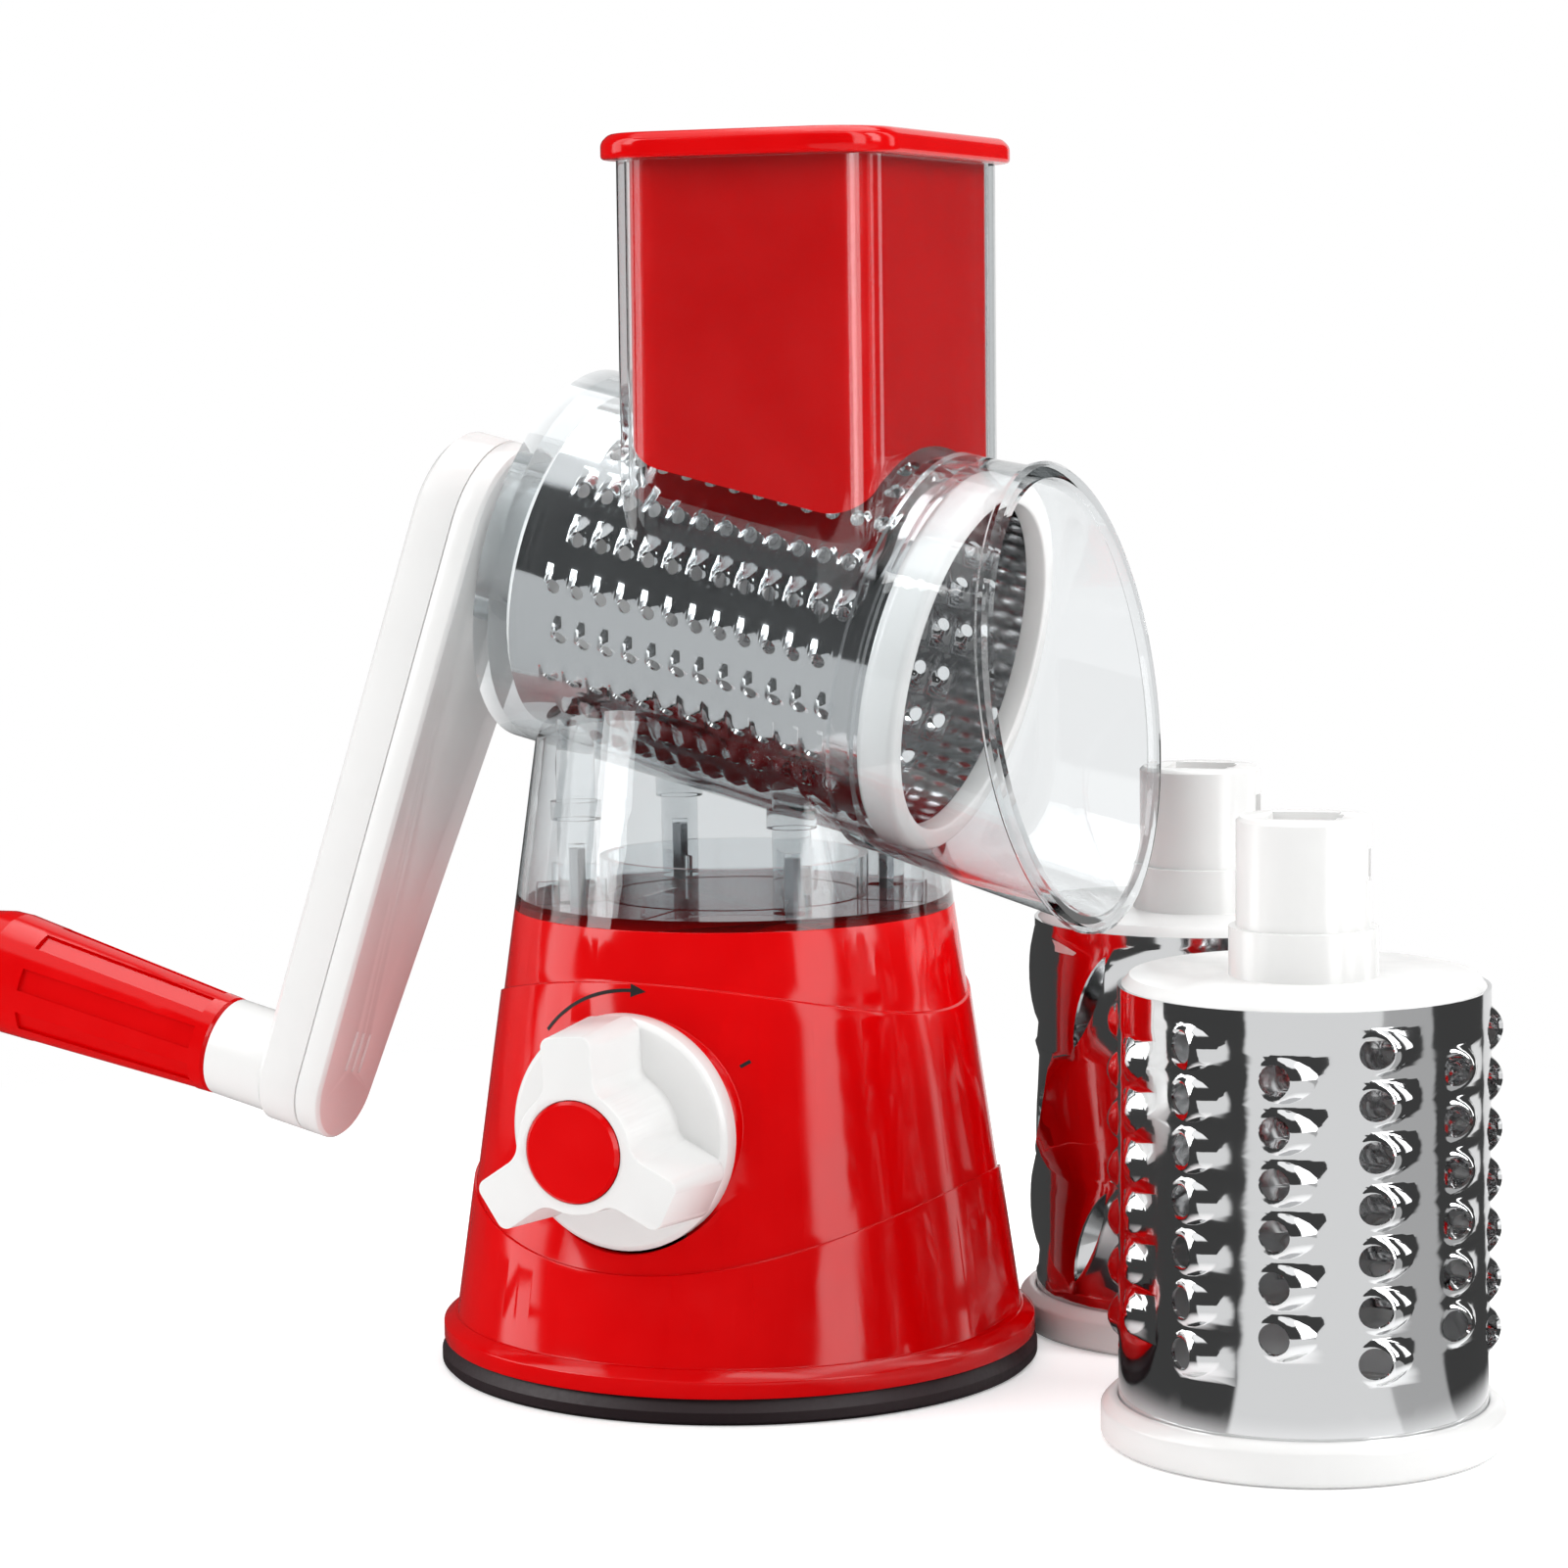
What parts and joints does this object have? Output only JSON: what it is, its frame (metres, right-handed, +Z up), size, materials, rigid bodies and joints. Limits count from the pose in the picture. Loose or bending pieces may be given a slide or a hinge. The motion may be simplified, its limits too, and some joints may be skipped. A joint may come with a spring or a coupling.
{
  "type": "rotary cabbage shredder",
  "caption": "Hand cranked drum shredder on a suction foot: clear barrel with hopper and pusher, toothed steel drum, crank, locking knob and spare drums.",
  "frame": {"origin": "centre of the round suction foot, on the table", "axes": "+Z up, +X towards the outlet mouth (level direction), -Y towards the locking knob; the crank is on the -X side"},
  "size_m": [0.3668, 0.1889, 0.2704],
  "materials": {
    "red_abs": "glossy moulded red ABS",
    "white_abs": "white moulded ABS",
    "clear_san": "clear moulded plastic",
    "steel_sheet": "polished stainless sheet",
    "steel_pin": "bright steel",
    "rubber": "dark soft rubber",
    "white_inner": "white moulded plastic, matt"
  },
  "bodies": {
    "base": {"suction_ring": "rubber", "base_shell": "red_abs", "base_plate": "white_inner", "plate_screws": "steel_pin", "neck_screws": "steel_pin", "clear_housing": "clear_san"},
    "knob": {"knob": "white_abs", "knob_cap": "red_abs", "knob_screw": "steel_pin", "cam_shaft": "steel_pin"},
    "lifter": {"lift_yoke": "white_inner", "cup_membrane": "rubber"},
    "pusher": {"pusher_body": "red_abs", "pusher_lid": "red_abs"},
    "drum": {"drum_sheet": "steel_sheet", "drum_ring": "white_abs", "drum_hub": "white_abs"},
    "crank": {"crank_arm": "white_abs", "crank_cover": "white_abs", "drive_peg": "white_inner", "grip_spindle": "steel_pin"},
    "grip": {"grip": "red_abs", "grip_cap": "red_abs"},
    "coarse_drum": {"coarse_sheet": "steel_sheet", "coarse_ring": "white_abs", "coarse_hub": "white_abs"},
    "slicer_drum": {"slicer_sheet": "steel_sheet", "slicer_ring": "white_abs", "slicer_hub": "white_abs"}
  },
  "joints": [
    {"name": "knob_turn", "type": "hinge", "parent": "base", "child": "knob", "pos_m": [0, 0, 0.06], "axis": [0, 1, 0], "range_deg": [0, 90]},
    {"name": "lifter_slide", "type": "slide", "parent": "base", "child": "lifter", "axis": [0, 0, 1], "range_m": [0, 0.004], "deforming": ["cup_membrane"]},
    {"name": "pusher_slide", "type": "slide", "parent": "base", "child": "pusher", "axis": [0, 0, 1], "range_m": [0, 0.085]},
    {"name": "drum_spin", "type": "hinge", "parent": "base", "child": "drum", "pos_m": [0, 0, 0.1697], "axis": [0.9726, 0, -0.2326], "continuous": true},
    {"name": "crank_lift_off", "type": "slide", "parent": "drum", "child": "crank", "axis": [-0.9726, 0, 0.2326], "range_m": [0, 0.03]},
    {"name": "grip_spin", "type": "hinge", "parent": "crank", "child": "grip", "pos_m": [-0.11304, -0.0313, 0.06764], "axis": [0.9726, 0, -0.2326], "continuous": true},
    {"name": "coarse_drum_lift", "type": "slide", "parent": "base", "child": "coarse_drum", "axis": [0, 0, 1], "range_m": [0, 0.06]},
    {"name": "slicer_drum_slide", "type": "slide", "parent": "base", "child": "slicer_drum", "axis": [0, 1, 0], "range_m": [0, 0.06]}
  ],
  "couplings": [
    {"joint": "lifter_slide", "follows": "knob_turn", "m_per_rad": 0.0025465}
  ]
}
